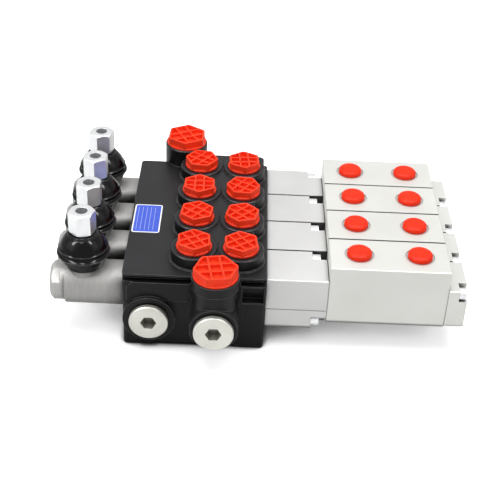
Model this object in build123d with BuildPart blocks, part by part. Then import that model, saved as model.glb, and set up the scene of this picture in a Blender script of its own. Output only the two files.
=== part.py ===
from build123d import *
import os
from math import cos, pi, sin

# Four-spool monoblock directional valve with lever housings on one end of the spools
# and air cylinders on the other end.
# Millimetres. Origin: centre of the mounting face. +X runs along the spools from the levers
# to the air cylinders, -Y is the front with the two steel plugs, +Z is up.

os.makedirs("parts", exist_ok=True)

# Driving dimensions: rows of spools
SECTIONS = 4
PITCH = 38.0
ROW_SHIFT = 2.7
SPOOL_Z = 38.0
BLOCK_GAP = 1.0

# Cast body
BODY_HALF_X = 50.8
BODY_FRONT_Y = -77.4
BODY_BACK_Y = 78.6
FLAT_Z = 62.3
FOOT_WIDTH = 17.2
FOOT_RECESS = 3.3
FOOT_SLOPE = 4.4
CAST_FILLET = 3.0
PAD_PROUD = 1.2
PAD_EDGE = 1.2
PAD_LOW_Z = 40.7
PAD_HIGH_Z = 56.2
LEFT_PAD_INSET = 3.0
LEFT_PAD_END_X = -3.3
PAD_CORNER = 4.5
POCKET_LENGTH = 15.6
POCKET_DEPTH = 5.0
BAND_HEIGHT = 4.6
BAND_DEPTH = 4.5
BAND_GAP_LEFT = 3.0
BAND_GAP_RIGHT = 1.0
MOUNT_SPACING_X = 84.0
MOUNT_SPACING_Y = 130.0
MOUNT_HOLE_R = 3.4
MOUNT_HOLE_DEPTH = 14.0

# Work ports, inlet and outlet
PORT_A_X = -1.5
PORT_B_X = 32.0
PORT_FACE_Z = 72.0
PORT_BOSS_R = 16.5
PORT_BOSS_FLARE = 0.9
PORT_THREAD_R = 8.0
PORT_THREAD_DEPTH = 13.0
PORT_PASSAGE_R = 3.5
WEB_Z = 70.0
WEB_MARGIN_LEFT = 7.5
WEB_MARGIN_RIGHT = 9.0
WEB_FRONT = 8.0
WEB_CORNER = 4.0
RIM_CHAMFER = 0.7
BIG_PORT_R = 16.7
BIG_PORT_THREAD_R = 10.0
BIG_PORT_DEPTH = 14.0
BIG_PASSAGE_R = 8.0
INLET_X = 15.2
INLET_Y = -91.0
INLET_FACE_Z = 74.0
INLET_NECK_R = 14.3
INLET_RIM_HEIGHT = 8.0
OUTLET_X = -15.2
OUTLET_Y = 86.5
OUTLET_FACE_Z = 77.0
OUTLET_FOOT_Z = 14.0

# Galleries
PRESSURE_GALLERY_R = 6.0
TANK_GALLERY_X = -14.0
TANK_GALLERY_Z = 31.0
RIGHT_TANK_X = 40.5
RIGHT_TANK_R = 3.5
CROSS_GALLERY_INSET = 5.6
GALLERY_PAST_ROW = 10.0

# Steel screw plugs on the front
PLUG_HEAD_R = 14.0
PLUG_HEAD = 3.5
PLUG_SEAL = 1.0
PLUG_SEAL_R = 12.6
PLUG_STEM = 10.0
PLUG_BOSS_R = 17.0
PLUG_BOSS_Y = -106.3
PLUG_KEY = 10.0
PLUG_KEY_DEPTH = 8.0
RELIEF_FROM_LEFT = 19.0
RELIEF_Z = 25.8
RELIEF_BOSS_R = 18.8
RELIEF_BOSS_PROUD = 3.9
DRILL_OVERRUN = 1.0
THREAD_FIT = 0.1

# Transport caps: the hexagons' corners reach the rim of the flange
CAP_FLANGE_R = 12.8
CAP_FLANGE = 1.8
CAP_HEX = 22.0
CAP_HEIGHT = 7.2
CAP_STEM = 9.0
BIG_CAP_FLANGE_R = 15.8
BIG_CAP_HEX = 27.2
CAP_RIM = 1.5
CAP_RIB = 1.2
CAP_POCKET = 3.0
CAP_TURNS = (33, 36, -37, -42, 90, 57, 55, 95)
INLET_CAP_TURN = 10
OUTLET_CAP_TURN = 27
AIR_CAP_R = 8.9
AIR_CAP_HEIGHT = 4.5
AIR_CAP_SIDE = 2.3
AIR_CAP_SHOULDER = 4.1
AIR_CAP_SHOULDER_R = 6.7
AIR_CAP_STEM = 8.0

# Lever side
LEVER_HOUSING_R = 16.2
LEVER_HOUSING_LENGTH = 42.5
LEVER_HOUSING_BORE_R = 9.4
LEVER_HOUSING_FLOOR = 2.0
SPIGOT_R = 12.0
SPIGOT_LENGTH = 5.0
END_PLUG_R = 14.2
END_PLUG_LENGTH = 10.8
END_PLUG_ROUND = 2.4
END_PLUG_WALL = 1.5
END_PLUG_FLOOR = 2.0
END_PLUG_SPIGOT = 3.0
END_PLUG_FLATS = 26.6
END_PLUG_FLAT_LENGTH = 7.6
END_PLUG_TURN = 43.0
LEVER_FROM_END = 13.1
LEVER_ARM = 18.0
TOWER_R = 12.2
TOWER_TOP_Z = 60.0
TOWER_BORE_R = 7.5
PIVOT_PIN_R = 2.5
PIVOT_PIN_INSET = 0.5
STEM_R = 4.0
STEM_EYE_R = 4.7
STEM_TOE_R = 4.3
STEM_WAIST = 5.0
STEM_HALF_WIDTH = 3.4
STEM_EYE_WALL = 1.0
SOCKET_LOW_Z = 81.5
SOCKET_HEIGHT = 16.9
SOCKET_HEX = 17.0
SOCKET_THREAD_R = 4.25
SOCKET_THREAD_DEPTH = 11.0
SOCKET_STEM_DEPTH = 4.5
SOCKET_FACE_R = 8.0
SOCKET_EDGE_R = 9.9
SOCKET_BEVEL = 1.2
SOCKET_TURNS = (14, 30, 30, 14)

# Rubber boot: height above its lower edge and radius, outside upwards and inside downwards
BOOT_LOW_Z = 54.4
BOOT_GRIP = 0.3
BOOT_OUTSIDE = ((0.0, 14.2), (5.5, 16.4), (11.3, 19.0), (13.5, 17.7), (16.1, 18.4), (20.4, 16.2),
                (24.0, 11.6), (27.0, 9.4))
BOOT_INSIDE = ((27.0, 4.4), (23.0, 4.4), (17.0, 15.5), (11.0, 16.3))

# Spool, turned from one bar: end land, tank neck, A land, pressure neck, B land, tank neck, end land
SPOOL_R = 7.96
SPOOL_BORE_R = 8.0
SPOOL_NECK_R = 5.0
SPOOL_TONGUE_R = 7.0
TONGUE_TO_TIP = 8.3
TONGUE_TO_LAND = 10.2
TANK_NECK_X = (-20.0, -6.0)
PRESSURE_NECK_X = (3.0, 27.5)
RIGHT_NECK_X = (36.5, 44.5)
SPOOL_ROD_R = 4.9
TOE_SLOT_CLEARANCE = 0.3
TONGUE_FLAT = 4.0
TONGUE_FLOOR = 4.7

# Seals on the spool
SEAL_R = 11.0
SEAL_LENGTH = 3.0
SEAL_FIT = 0.05
SEAL_BORE_R = 8.05
RIGHT_SEAL_INSET = 1.0

# Spring housing and centring spring
HOUSING_LENGTH = 44.5
HOUSING_LOW_Z = 16.9
HOUSING_HIGH_Z = 59.0
HOUSING_WALL = 9.2
SPRING_CHAMBER_R = 13.0
NOTCH_LENGTH = 11.1
NOTCH_WIDTH = 10.0
NOTCH_HEIGHT = 10.0
SIDE_GROOVE_Z = 32.7
SIDE_GROOVE = 0.8
SCREW_R = 3.0
SCREW_HOLE_R = 3.3
SCREW_HEAD_R = 5.0
SCREW_HEAD = 6.0
SCREW_KEY = 5.0
SCREW_IN_BODY = 12.8
SCREW_INSET = 5.0
SPRING_CUP_R = 12.4
SPRING_CUP = 1.8
SPRING_CUP_GAP = 0.1
SPRING_CUP_BORE_GAP = 0.3
SPRING_MEAN_R = 9.0
SPRING_WIRE = 2.2
SPRING_END_GAP = 0.5
SPRING_TURNS = 4
SPRING_STEPS = 10

# Air cylinder
CYLINDER_LENGTH = 85.2
CYLINDER_LOW_Z = 23.0
CYLINDER_HIGH_Z = 71.0
CYLINDER_BORE_R = 12.5
CYLINDER_WALL = 7.7
AIR_PORT_FROM_HOUSING = 21.1
AIR_PORT_FROM_COVER = 20.7
AIR_PORT_R = 5.8
AIR_PORT_ABOVE_AXIS = 6.0
AIR_PORT_SPOT_R = 10.5
AIR_PORT_SPOT = 0.4
PISTON_R = 12.44
PISTON_LENGTH = 20.0
PISTON_FROM_HOUSING = 32.7
PISTON_ROD_R = 6.5
PISTON_ROD_WEB = 16.0
PISTON_ROD_FIT = 0.06
PISTON_SEAL = 3.0
PISTON_SEAL_R = 10.2
COVER_LENGTH = 14.1
COVER_LOW_Z = 23.8
COVER_HIGH_Z = 55.0
COVER_SPIGOT = 4.0
COVER_NOTCH = 6.2
COVER_NOTCH_WIDTH = 11.0
COVER_NOTCH_HEIGHT = 9.0
TIE_R = 2.5
TIE_HOLE_R = 2.7
TIE_HEAD_R = 4.25
TIE_HEAD = 5.0
TIE_KEY = 4.0
TIE_INSET = 4.5
TIE_IN_HOUSING = 9.0
EDGE_CHAMFER = 0.5

# Rating plate
PLATE_INSET = 1.4
PLATE_WIDTH = 20.7
PLATE_LENGTH = 37.6
PLATE_CENTRE_Y = -6.6
PLATE_THICKNESS = 0.4
PLATE_CORNER = 2.0

# Places worked out from the driving dimensions
ROWS = [ROW_SHIFT + PITCH * (k - (SECTIONS - 1) / 2) for k in range(SECTIONS)]
BLOCK_HALF_Y = (PITCH - BLOCK_GAP) / 2
RELIEF_X = RELIEF_FROM_LEFT - BODY_HALF_X
LEVER_HOUSING_END_X = -BODY_HALF_X - LEVER_HOUSING_LENGTH
LEVER_X = LEVER_HOUSING_END_X + LEVER_FROM_END
SPOOL_TIP_X = LEVER_X - TONGUE_TO_TIP
TONGUE_END_X = LEVER_X + TONGUE_TO_LAND
PIVOT_Z = SPOOL_Z + LEVER_ARM
SOCKET_TOP_Z = SOCKET_LOW_Z + SOCKET_HEIGHT
HOUSING_END_X = BODY_HALF_X + HOUSING_LENGTH
CHAMBER_X = BODY_HALF_X + HOUSING_WALL
CYLINDER_END_X = HOUSING_END_X + CYLINDER_LENGTH
COVER_END_X = CYLINDER_END_X + COVER_LENGTH
AIR_PORT_X = (HOUSING_END_X + AIR_PORT_FROM_HOUSING, CYLINDER_END_X - AIR_PORT_FROM_COVER)
PISTON_X = (HOUSING_END_X + PISTON_FROM_HOUSING, HOUSING_END_X + PISTON_FROM_HOUSING + PISTON_LENGTH)
ROD_END_X = PISTON_X[0] - PISTON_ROD_WEB
TIE_HIGH_Z = COVER_HIGH_Z - TIE_INSET
TIE_LOW_Z = COVER_LOW_Z + TIE_INSET
SCREW_OFFSET_Y = BLOCK_HALF_Y - SCREW_INSET
TIE_OFFSET_Y = BLOCK_HALF_Y - TIE_INSET
HOUSING_SCREWS = ((SCREW_OFFSET_Y, HOUSING_HIGH_Z - SCREW_INSET),
                  (-SCREW_OFFSET_Y, HOUSING_LOW_Z + SCREW_INSET))
TIES = ((-TIE_OFFSET_Y, TIE_HIGH_Z), (TIE_OFFSET_Y, TIE_LOW_Z))
WORK_PORTS = [(x, y) for y in ROWS for x in (PORT_A_X, PORT_B_X)]
LEFT_SEAL_X = -BODY_HALF_X + SPIGOT_LENGTH
RIGHT_SEAL_X = BODY_HALF_X + RIGHT_SEAL_INSET


def across(x, y, z):
    """Plane at a point, looking along +X, with +Y and +Z as its directions."""
    return Plane(origin=(x, y, z), x_dir=(0, 1, 0), z_dir=(1, 0, 0))


def facing_front(x, y, z):
    """Plane at a point, looking along -Y, with +X and +Z as its directions."""
    return Plane(origin=(x, y, z), x_dir=(1, 0, 0), z_dir=(0, -1, 0))


def rod(plane, radius, length, mode=Mode.ADD):
    """Round bar or bore from a plane, along its direction."""
    with BuildSketch(plane) as disc:
        Circle(radius)
    extrude(disc.sketch, amount=length, mode=mode)


def hexagon(plane, flats, length, mode=Mode.ADD, turn=0):
    """Hexagonal bar or socket, sized across its flats."""
    with BuildSketch(plane) as outline:
        RegularPolygon(flats / 2, 6, major_radius=False, rotation=turn)
    extrude(outline.sketch, amount=length, mode=mode)


def turned(points, plane, mode=Mode.ADD):
    """Turned shape: points give distance along the plane's x direction and radius."""
    with BuildSketch(plane) as profile:
        with BuildLine():
            Polyline(*points, close=True)
        make_face()
    revolve(profile.sketch, axis=Axis(plane.origin, plane.x_dir), mode=mode)


def block(x, y, z, mode=Mode.ADD):
    """Rectangular block or cut between two limits along each direction."""
    with Locations((x[0], y[0], z[0])):
        Box(x[1] - x[0], y[1] - y[0], z[1] - z[0],
            align=(Align.MIN, Align.MIN, Align.MIN), mode=mode)


# Body: casting with feet, port bosses, the inlet column, galleries and spool bores
with BuildPart() as valve_body:
    with BuildSketch(Plane.XZ.offset(-BODY_FRONT_Y)):
        foot_x = BODY_HALF_X - FOOT_WIDTH
        with BuildLine():
            Polyline((-BODY_HALF_X, 0), (-foot_x, 0), (-foot_x + FOOT_SLOPE, FOOT_RECESS),
                     (foot_x - FOOT_SLOPE, FOOT_RECESS), (foot_x, 0), (BODY_HALF_X, 0),
                     (BODY_HALF_X, FLAT_Z), (-BODY_HALF_X, FLAT_Z), close=True)
        make_face()
    extrude(amount=BODY_FRONT_Y - BODY_BACK_Y)
    fillet(valve_body.edges().filter_by(Axis.Z), CAST_FILLET)

    # Raised port cluster
    with BuildSketch(Plane.XY.offset(FLAT_Z)):
        with Locations(*WORK_PORTS):
            Circle(PORT_BOSS_R + PORT_BOSS_FLARE)
    extrude(amount=PORT_BOSS_FLARE)
    with BuildSketch(Plane.XY.offset(FLAT_Z)) as web_outline:
        web_x = (PORT_A_X - WEB_MARGIN_LEFT, PORT_B_X + WEB_MARGIN_RIGHT)
        web_y = (ROWS[0] - WEB_FRONT, BODY_BACK_Y)
        with Locations(((web_x[0] + web_x[1]) / 2, (web_y[0] + web_y[1]) / 2)):
            RectangleRounded(web_x[1] - web_x[0], web_y[1] - web_y[0], WEB_CORNER)
        with Locations(((PORT_B_X + BODY_HALF_X - CAST_FILLET) / 2, (ROWS[-1] + BODY_BACK_Y) / 2)):
            RectangleRounded(BODY_HALF_X - CAST_FILLET - PORT_B_X, BODY_BACK_Y - ROWS[-1], WEB_CORNER)
    extrude(amount=WEB_Z - FLAT_Z)
    with BuildSketch(Plane.XY.offset(FLAT_Z)):
        with Locations(*WORK_PORTS):
            Circle(PORT_BOSS_R)
    extrude(amount=PORT_FACE_Z - FLAT_Z)
    chamfer(valve_body.edges().group_by(Axis.Z)[-1], RIM_CHAMFER)

    # Outlet column behind the body
    rod(Plane((OUTLET_X, OUTLET_Y, OUTLET_FOOT_Z)), BIG_PORT_R, OUTLET_FACE_Z - OUTLET_FOOT_Z)
    chamfer(valve_body.edges().group_by(Axis.Z)[-1], RIM_CHAMFER)

    # Inlet column in front of the body, with its rim and the boss of the gallery plug
    block((INLET_X - INLET_NECK_R, INLET_X + INLET_NECK_R), (INLET_Y, BODY_FRONT_Y + CAST_FILLET),
          (SPOOL_Z, FLAT_Z - BAND_HEIGHT))
    rod(Plane((INLET_X, INLET_Y, SPOOL_Z)), INLET_NECK_R, INLET_FACE_Z - SPOOL_Z)
    rim_z = INLET_FACE_Z - INLET_RIM_HEIGHT
    rod(Plane((INLET_X, INLET_Y, rim_z)), BIG_PORT_R, INLET_RIM_HEIGHT)
    rod(facing_front(INLET_X, BODY_FRONT_Y + CAST_FILLET, SPOOL_Z), PLUG_BOSS_R,
        BODY_FRONT_Y + CAST_FILLET - PLUG_BOSS_Y)

    # Relief cavity boss and cast pads on the front
    rod(facing_front(RELIEF_X, BODY_FRONT_Y + CAST_FILLET, RELIEF_Z), RELIEF_BOSS_R,
        CAST_FILLET + RELIEF_BOSS_PROUD)
    with BuildSketch(facing_front(0, BODY_FRONT_Y, 0)):
        left_pad_x = LEFT_PAD_INSET - BODY_HALF_X
        with BuildLine():
            Polyline((left_pad_x, PAD_LOW_Z), (LEFT_PAD_END_X, PAD_LOW_Z), (LEFT_PAD_END_X, PAD_HIGH_Z),
                     (left_pad_x + PAD_CORNER, PAD_HIGH_Z), (left_pad_x, PAD_HIGH_Z - PAD_CORNER), close=True)
        make_face()
    extrude(amount=PAD_PROUD)
    pocket_x = (BODY_HALF_X - PAD_EDGE - POCKET_LENGTH, BODY_HALF_X - PAD_EDGE)
    block((pocket_x[0] - PAD_EDGE, BODY_HALF_X), (BODY_FRONT_Y - PAD_PROUD, BODY_FRONT_Y + CAST_FILLET),
          (PAD_LOW_Z, PAD_HIGH_Z))
    block(pocket_x, (BODY_FRONT_Y - PAD_PROUD, BODY_FRONT_Y + POCKET_DEPTH),
          (PAD_LOW_Z + PAD_EDGE, PAD_HIGH_Z - PAD_EDGE), mode=Mode.SUBTRACT)
    for band_x in ((-BODY_HALF_X, INLET_X - INLET_NECK_R - BAND_GAP_LEFT),
                   (INLET_X + BIG_PORT_R + BAND_GAP_RIGHT, BODY_HALF_X)):
        block(band_x, (BODY_FRONT_Y - PAD_PROUD, BODY_FRONT_Y + BAND_DEPTH),
              (PAD_HIGH_Z, PAD_HIGH_Z + BAND_HEIGHT), mode=Mode.SUBTRACT)

    # Spool bores with the seats of the lever housings and left seals
    for y in ROWS:
        rod(across(-BODY_HALF_X, y, SPOOL_Z), SPOOL_BORE_R, 2 * BODY_HALF_X, mode=Mode.SUBTRACT)
        rod(across(-BODY_HALF_X, y, SPOOL_Z), SPIGOT_R, SPIGOT_LENGTH, mode=Mode.SUBTRACT)
        rod(across(LEFT_SEAL_X, y, SPOOL_Z), SEAL_R, SEAL_LENGTH, mode=Mode.SUBTRACT)
    # Work ports down to the spool bores
    for x, y in WORK_PORTS:
        rod(Plane((x, y, PORT_FACE_Z)), PORT_THREAD_R, -PORT_THREAD_DEPTH, mode=Mode.SUBTRACT)
        rod(Plane((x, y, PORT_FACE_Z)), PORT_PASSAGE_R, SPOOL_Z - PORT_FACE_Z, mode=Mode.SUBTRACT)
    # Pressure gallery from the inlet boss through all spool bores
    gallery_end_y = ROWS[-1] + GALLERY_PAST_ROW
    rod(facing_front(INLET_X, gallery_end_y, SPOOL_Z), PRESSURE_GALLERY_R,
        gallery_end_y - PLUG_BOSS_Y, mode=Mode.SUBTRACT)
    rod(facing_front(INLET_X, PLUG_BOSS_Y, SPOOL_Z), BIG_PORT_THREAD_R, -PLUG_STEM, mode=Mode.SUBTRACT)
    rod(Plane((INLET_X, INLET_Y, INLET_FACE_Z)), BIG_PORT_THREAD_R, -BIG_PORT_DEPTH, mode=Mode.SUBTRACT)
    rod(Plane((INLET_X, INLET_Y, INLET_FACE_Z)), BIG_PASSAGE_R, SPOOL_Z - INLET_FACE_Z, mode=Mode.SUBTRACT)
    # Tank galleries, joined behind the last spool, and the outlet
    tank_front_y = ROWS[0] - GALLERY_PAST_ROW
    cross_y = BODY_BACK_Y - CROSS_GALLERY_INSET
    rod(facing_front(TANK_GALLERY_X, OUTLET_Y, TANK_GALLERY_Z), PRESSURE_GALLERY_R,
        OUTLET_Y - tank_front_y, mode=Mode.SUBTRACT)
    rod(facing_front(RIGHT_TANK_X, cross_y, TANK_GALLERY_Z), RIGHT_TANK_R, cross_y - tank_front_y,
        mode=Mode.SUBTRACT)
    rod(across(TANK_GALLERY_X, cross_y, TANK_GALLERY_Z), RIGHT_TANK_R, RIGHT_TANK_X - TANK_GALLERY_X,
        mode=Mode.SUBTRACT)
    rod(Plane((OUTLET_X, OUTLET_Y, OUTLET_FACE_Z)), BIG_PORT_THREAD_R, -BIG_PORT_DEPTH, mode=Mode.SUBTRACT)
    rod(Plane((OUTLET_X, OUTLET_Y, OUTLET_FACE_Z)), BIG_PASSAGE_R, TANK_GALLERY_Z - OUTLET_FACE_Z,
        mode=Mode.SUBTRACT)
    # Relief cavity
    relief_face_y = BODY_FRONT_Y - RELIEF_BOSS_PROUD
    rod(facing_front(RELIEF_X, relief_face_y, RELIEF_Z), BIG_PORT_THREAD_R, -PLUG_STEM - DRILL_OVERRUN,
        mode=Mode.SUBTRACT)
    # Tapped holes for the spring housings and under the feet
    for y in ROWS:
        for offset, z in HOUSING_SCREWS:
            rod(across(BODY_HALF_X, y + offset, z), SCREW_R, -SCREW_IN_BODY - DRILL_OVERRUN,
                mode=Mode.SUBTRACT)
    for x in (-MOUNT_SPACING_X / 2, MOUNT_SPACING_X / 2):
        for y in (-MOUNT_SPACING_Y / 2, MOUNT_SPACING_Y / 2):
            rod(Plane((x, y, 0)), MOUNT_HOLE_R, MOUNT_HOLE_DEPTH, mode=Mode.SUBTRACT)
valve_body.part.label = "valve_body"
export_step(valve_body.part, "parts/valve_body.step")

# Plate on the left flat
with BuildPart() as rating_plate:
    with BuildSketch(Plane.XY.offset(FLAT_Z)):
        with Locations((PLATE_INSET + PLATE_WIDTH / 2 - BODY_HALF_X, PLATE_CENTRE_Y)):
            RectangleRounded(PLATE_WIDTH, PLATE_LENGTH, PLATE_CORNER)
    extrude(amount=PLATE_THICKNESS)
rating_plate.part.label = "rating_plate"
export_step(rating_plate.part, "parts/rating_plate.step")


def screw_plug(x, boss_y, z):
    """Steel plug: flanged head over its seal, key socket in front, stem in the cast boss."""
    rod(facing_front(x, boss_y - PLUG_SEAL, z), PLUG_HEAD_R, PLUG_HEAD)
    chamfer(faces().sort_by(Axis.Y)[0].edges(), EDGE_CHAMFER)
    rod(facing_front(x, boss_y - PLUG_SEAL, z), BIG_PORT_THREAD_R - THREAD_FIT, -PLUG_STEM)
    hexagon(facing_front(x, boss_y - PLUG_SEAL - PLUG_HEAD, z), PLUG_KEY, -PLUG_KEY_DEPTH,
            mode=Mode.SUBTRACT)


with BuildPart() as inlet_gallery_plug:
    screw_plug(INLET_X, PLUG_BOSS_Y, SPOOL_Z)
inlet_gallery_plug.part.label = "inlet_gallery_plug"
export_step(inlet_gallery_plug.part, "parts/inlet_gallery_plug.step")

with BuildPart() as relief_cavity_plug:
    screw_plug(RELIEF_X, relief_face_y, RELIEF_Z)
relief_cavity_plug.part.label = "relief_cavity_plug"
export_step(relief_cavity_plug.part, "parts/relief_cavity_plug.step")

with BuildPart() as port_plug_seals:
    for x, y, z in ((INLET_X, PLUG_BOSS_Y, SPOOL_Z), (RELIEF_X, relief_face_y, RELIEF_Z)):
        with BuildSketch(facing_front(x, y, z)) as ring:
            Circle(PLUG_SEAL_R)
            Circle(BIG_PORT_THREAD_R, mode=Mode.SUBTRACT)
        extrude(amount=PLUG_SEAL)
port_plug_seals.part.label = "port_plug_seals"
export_step(port_plug_seals.part, "parts/port_plug_seals.step")


def transport_cap(x, y, face_z, flange_r, flats, stem_r, turn):
    """Plastic cap: flange, hexagon with a ribbed pocket, and a stem in the port."""
    seat = Plane((x, y, face_z)).rotated((0, 0, turn))
    rod(seat, flange_r, CAP_FLANGE)
    rod(seat, stem_r, -CAP_STEM)
    hexagon(seat.offset(CAP_FLANGE), flats, CAP_HEIGHT - CAP_FLANGE)
    pocket = flats - 2 * CAP_RIM
    with BuildSketch(seat.offset(CAP_HEIGHT)) as grid:
        RegularPolygon(pocket / 2, 6, major_radius=False)
        with Locations((pocket / 6, 0), (-pocket / 6, 0)):
            Rectangle(CAP_RIB, 2 * flats, mode=Mode.SUBTRACT)
        with Locations((0, pocket / 6), (0, -pocket / 6)):
            Rectangle(2 * flats, CAP_RIB, mode=Mode.SUBTRACT)
    extrude(grid.sketch, amount=-CAP_POCKET, mode=Mode.SUBTRACT)


with BuildPart() as work_port_caps:
    for place, turn in zip(WORK_PORTS, CAP_TURNS):
        transport_cap(*place, PORT_FACE_Z, CAP_FLANGE_R, CAP_HEX, PORT_THREAD_R - THREAD_FIT, turn)
work_port_caps.part.label = "work_port_caps"
export_step(work_port_caps.part, "parts/work_port_caps.step")

with BuildPart() as inlet_port_cap:
    transport_cap(INLET_X, INLET_Y, INLET_FACE_Z, BIG_CAP_FLANGE_R, BIG_CAP_HEX,
                  BIG_PORT_THREAD_R - THREAD_FIT, INLET_CAP_TURN)
inlet_port_cap.part.label = "inlet_port_cap"
export_step(inlet_port_cap.part, "parts/inlet_port_cap.step")

with BuildPart() as outlet_port_cap:
    transport_cap(OUTLET_X, OUTLET_Y, OUTLET_FACE_Z, BIG_CAP_FLANGE_R, BIG_CAP_HEX,
                  BIG_PORT_THREAD_R - THREAD_FIT, OUTLET_CAP_TURN)
outlet_port_cap.part.label = "outlet_port_cap"
export_step(outlet_port_cap.part, "parts/outlet_port_cap.step")

# Domed caps in the air ports
with BuildPart() as air_port_caps:
    for y in ROWS:
        for x in AIR_PORT_X:
            seat_z = CYLINDER_HIGH_Z - AIR_PORT_SPOT
            cap_axis = Plane(origin=(x, y, seat_z), x_dir=(0, 0, 1), z_dir=(0, 1, 0))
            turned(((-AIR_CAP_STEM, 0), (-AIR_CAP_STEM, AIR_PORT_R - THREAD_FIT),
                    (0, AIR_PORT_R - THREAD_FIT), (0, AIR_CAP_R), (AIR_CAP_SIDE, AIR_CAP_R),
                    (AIR_CAP_SHOULDER, AIR_CAP_SHOULDER_R), (AIR_CAP_HEIGHT, 0)), cap_axis)
air_port_caps.part.label = "air_port_caps"
export_step(air_port_caps.part, "parts/air_port_caps.step")

# Shaft seals around the spool, one row in the body and one in the spring housings
with BuildPart() as spool_seals:
    for y in ROWS:
        for x in (LEFT_SEAL_X, RIGHT_SEAL_X):
            with BuildSketch(across(x, y, SPOOL_Z)):
                Circle(SEAL_R - SEAL_FIT)
                Circle(SEAL_BORE_R, mode=Mode.SUBTRACT)
            extrude(amount=SEAL_LENGTH)
spool_seals.part.label = "spool_seals"
export_step(spool_seals.part, "parts/spool_seals.step")

# Pins on which the levers turn
with BuildPart() as lever_pivot_pins:
    for y in ROWS:
        pin_half = TOWER_R - PIVOT_PIN_INSET
        rod(facing_front(LEVER_X, y + pin_half, PIVOT_Z), PIVOT_PIN_R, 2 * pin_half)
lever_pivot_pins.part.label = "lever_pivot_pins"
export_step(lever_pivot_pins.part, "parts/lever_pivot_pins.step")

# Round plugs that close the lever housings, with two wrench flats each
with BuildPart() as lever_end_plugs:
    inside_r = LEVER_HOUSING_BORE_R - END_PLUG_WALL
    floor_x = END_PLUG_LENGTH - END_PLUG_FLOOR
    for y in ROWS:
        turned(((-END_PLUG_SPIGOT, inside_r), (-END_PLUG_SPIGOT, LEVER_HOUSING_BORE_R - SEAL_FIT),
                (0, LEVER_HOUSING_BORE_R - SEAL_FIT), (0, END_PLUG_R),
                (END_PLUG_LENGTH - END_PLUG_ROUND, END_PLUG_R),
                (END_PLUG_LENGTH, END_PLUG_R - END_PLUG_ROUND), (END_PLUG_LENGTH, 0), (floor_x, 0),
                (floor_x, inside_r)),
               Plane(origin=(LEVER_HOUSING_END_X, y, SPOOL_Z), x_dir=(-1, 0, 0), z_dir=(0, -1, 0)))
        with BuildSketch(across(LEVER_HOUSING_END_X - END_PLUG_LENGTH, y, SPOOL_Z)):
            Circle(END_PLUG_R)
            Rectangle(2 * END_PLUG_R, END_PLUG_FLATS, rotation=END_PLUG_TURN, mode=Mode.SUBTRACT)
        extrude(amount=END_PLUG_FLAT_LENGTH, mode=Mode.SUBTRACT)
lever_end_plugs.part.label = "lever_end_plugs"
export_step(lever_end_plugs.part, "parts/lever_end_plugs.step")


def socket_screw(seat, shank_r, shank, head_r, head, key):
    """Socket-head screw: head from its seat outwards, shank behind it, key socket in the head."""
    rod(seat, head_r, head)
    rod(seat, shank_r - SEAL_FIT, -shank)
    hexagon(seat.offset(head), key, -head / 2, mode=Mode.SUBTRACT)


with BuildPart() as spring_housing_screws:
    for y in ROWS:
        for offset, z in HOUSING_SCREWS:
            notch_x = HOUSING_END_X - NOTCH_LENGTH
            socket_screw(across(notch_x, y + offset, z), SCREW_R, notch_x - BODY_HALF_X + SCREW_IN_BODY,
                         SCREW_HEAD_R, SCREW_HEAD, SCREW_KEY)
spring_housing_screws.part.label = "spring_housing_screws"
export_step(spring_housing_screws.part, "parts/spring_housing_screws.step")

with BuildPart() as cover_tie_screws:
    for y in ROWS:
        for offset, z in TIES:
            notch_x = COVER_END_X - COVER_NOTCH
            socket_screw(across(notch_x, y + offset, z), TIE_R, notch_x - HOUSING_END_X + TIE_IN_HOUSING,
                         TIE_HEAD_R, TIE_HEAD, TIE_KEY)
cover_tie_screws.part.label = "cover_tie_screws"
export_step(cover_tie_screws.part, "parts/cover_tie_screws.step")

# One coil of square wire, swept along a helix of straight steps, at the first row
spring_x = (CHAMBER_X + SPRING_CUP_GAP + SPRING_CUP, HOUSING_END_X - SPRING_CUP_GAP - SPRING_CUP)
coil_low = spring_x[0] + SPRING_WIRE / 2 + SPRING_END_GAP
coil_high = spring_x[1] - SPRING_WIRE / 2 - SPRING_END_GAP
coil_points = []
for step in range(SPRING_TURNS * SPRING_STEPS + 1):
    share = step / (SPRING_TURNS * SPRING_STEPS)
    angle = 2 * pi * SPRING_TURNS * share
    coil_points.append((coil_low + (coil_high - coil_low) * share,
                        ROWS[0] + SPRING_MEAN_R * cos(angle), SPOOL_Z + SPRING_MEAN_R * sin(angle)))
with BuildPart() as coil:
    with BuildLine() as coil_path:
        Polyline(*coil_points)
    with BuildSketch(Plane(origin=coil_path.line @ 0, z_dir=coil_path.line % 0, x_dir=(1, 0, 0))):
        Rectangle(SPRING_WIRE, SPRING_WIRE)
    sweep(path=coil_path.line, transition=Transition.RIGHT)

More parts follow.
